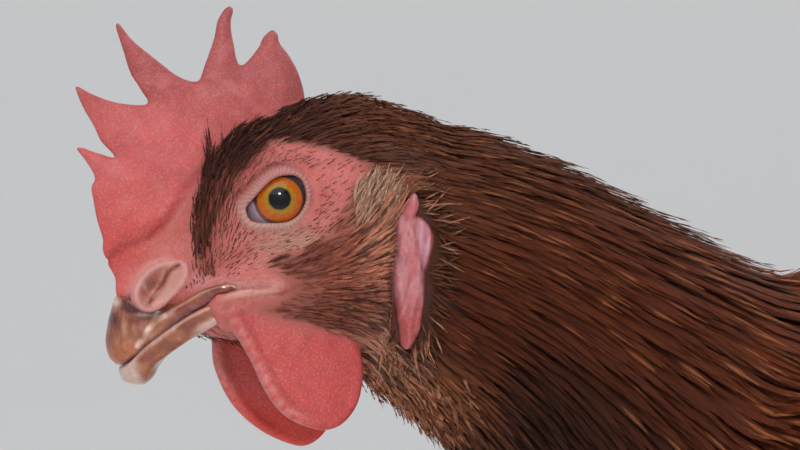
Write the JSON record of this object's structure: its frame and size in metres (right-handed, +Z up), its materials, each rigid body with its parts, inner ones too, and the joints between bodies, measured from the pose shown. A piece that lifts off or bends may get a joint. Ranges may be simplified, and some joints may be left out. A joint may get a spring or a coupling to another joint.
{
  "type": "brown laying hen",
  "caption": "Life-size standing brown hen with neck stretched forward, a tall toothed single comb, round wattles and long ear lobes, as a still museum model.",
  "frame": {"origin": "on the floor, under the middle of the hen's bounding box", "axes": "+Z up; the hen faces -Y and its left side is at +X"},
  "size_m": [0.1532, 0.4248, 0.3872],
  "materials": {
    "russet_plumage": "soft overlapping feathers, chestnut with tan tips",
    "dark_russet_plumage": "stiff smooth tail feathers, dark chestnut",
    "red_flesh": "waxy, finely pimpled bare skin",
    "pink_flesh": "soft folded bare skin",
    "bill_horn": "glossy brown horn, paler at the tip",
    "claw_horn": "satin horn",
    "amber_eye": "wet, clear, orange iris with a black pupil",
    "yellow_scales": "dry overlapping scales"
  },
  "bodies": {
    "root": {"head": "russet_plumage", "neck": "russet_plumage", "trunk": "russet_plumage", "tail": "dark_russet_plumage", "bill_upper": "bill_horn", "bill_lower": "bill_horn", "comb": "red_flesh", "wattle_left": "red_flesh", "wattle_right": "red_flesh", "ear_lobe_left": "pink_flesh", "ear_lobe_right": "pink_flesh", "eye_left": "amber_eye", "eye_right": "amber_eye", "wing_left": "russet_plumage", "wing_right": "russet_plumage", "thigh_left": "russet_plumage", "thigh_right": "russet_plumage", "shank_left": "yellow_scales", "shank_right": "yellow_scales", "foot_left": "yellow_scales", "foot_right": "yellow_scales", "claw_inner_left": "claw_horn", "claw_middle_left": "claw_horn", "claw_outer_left": "claw_horn", "claw_hind_left": "claw_horn", "claw_inner_right": "claw_horn", "claw_middle_right": "claw_horn", "claw_outer_right": "claw_horn", "claw_hind_right": "claw_horn"}
  },
  "joints": []
}
